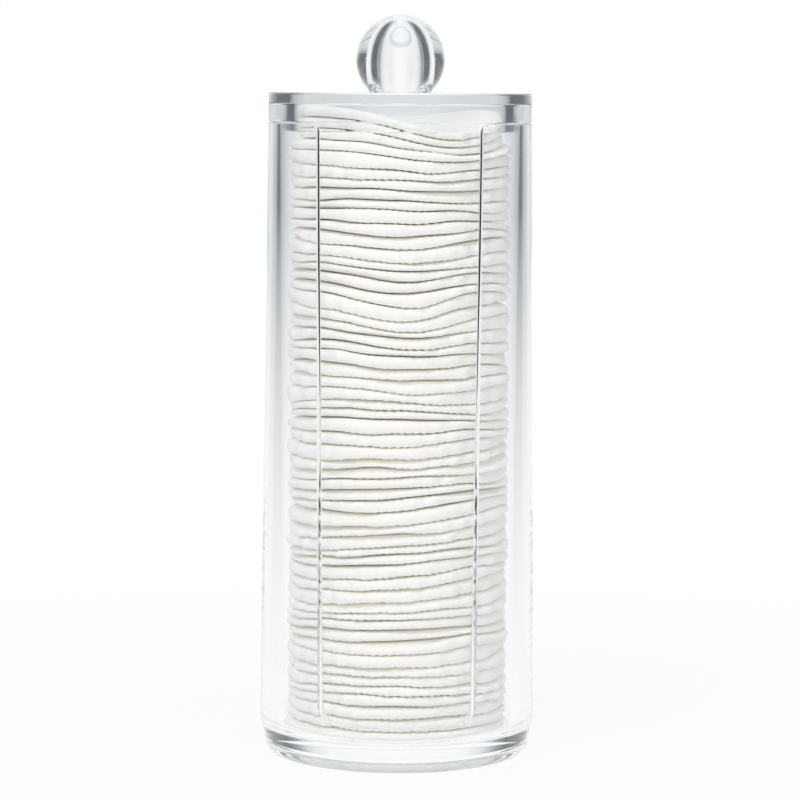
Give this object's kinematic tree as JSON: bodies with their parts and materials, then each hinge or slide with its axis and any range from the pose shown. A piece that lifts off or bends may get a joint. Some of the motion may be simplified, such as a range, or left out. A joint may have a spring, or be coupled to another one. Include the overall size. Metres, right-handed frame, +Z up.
{
  "type": "cotton pad dispenser",
  "caption": "Clear round container with an open front slot and a plug-in lid with a ball knob, filled with a stack of cotton pads that are taken out through the slot.",
  "frame": {"origin": "middle of the underside, on the plane that the foot ring stands on", "axes": "+Z up along the container's axis, the open slot faces -Y, +X to the right of someone facing the slot"},
  "size_m": [0.072, 0.072, 0.1917],
  "materials": {
    "clear_plastic": "gloss",
    "cotton": "matte"
  },
  "bodies": {
    "container_and_pads": {"container": "clear_plastic", "pad_01": "cotton", "pad_02": "cotton", "pad_03": "cotton", "pad_04": "cotton", "pad_05": "cotton", "pad_06": "cotton", "pad_07": "cotton", "pad_08": "cotton", "pad_09": "cotton", "pad_10": "cotton", "pad_11": "cotton", "pad_12": "cotton", "pad_13": "cotton", "pad_14": "cotton", "pad_15": "cotton", "pad_16": "cotton", "pad_17": "cotton", "pad_18": "cotton", "pad_19": "cotton", "pad_20": "cotton", "pad_21": "cotton", "pad_22": "cotton", "pad_23": "cotton", "pad_24": "cotton", "pad_25": "cotton", "pad_26": "cotton", "pad_27": "cotton", "pad_28": "cotton", "pad_29": "cotton", "pad_30": "cotton", "pad_31": "cotton", "pad_32": "cotton", "pad_33": "cotton", "pad_34": "cotton", "pad_35": "cotton", "pad_36": "cotton", "pad_37": "cotton", "pad_38": "cotton", "pad_39": "cotton", "pad_40": "cotton", "pad_41": "cotton", "pad_42": "cotton", "pad_43": "cotton", "pad_44": "cotton", "pad_45": "cotton", "pad_46": "cotton", "pad_47": "cotton", "pad_48": "cotton", "pad_49": "cotton", "pad_50": "cotton", "pad_51": "cotton", "pad_52": "cotton", "pad_53": "cotton", "pad_54": "cotton", "pad_55": "cotton", "pad_56": "cotton", "pad_57": "cotton"},
    "lid_and_knob": {"lid": "clear_plastic", "knob": "clear_plastic"}
  },
  "joints": [
    {"name": "lid_lift", "type": "slide", "parent": "container_and_pads", "child": "lid_and_knob", "axis": [0, 0, 1], "range_m": [0, 0.04]}
  ]
}
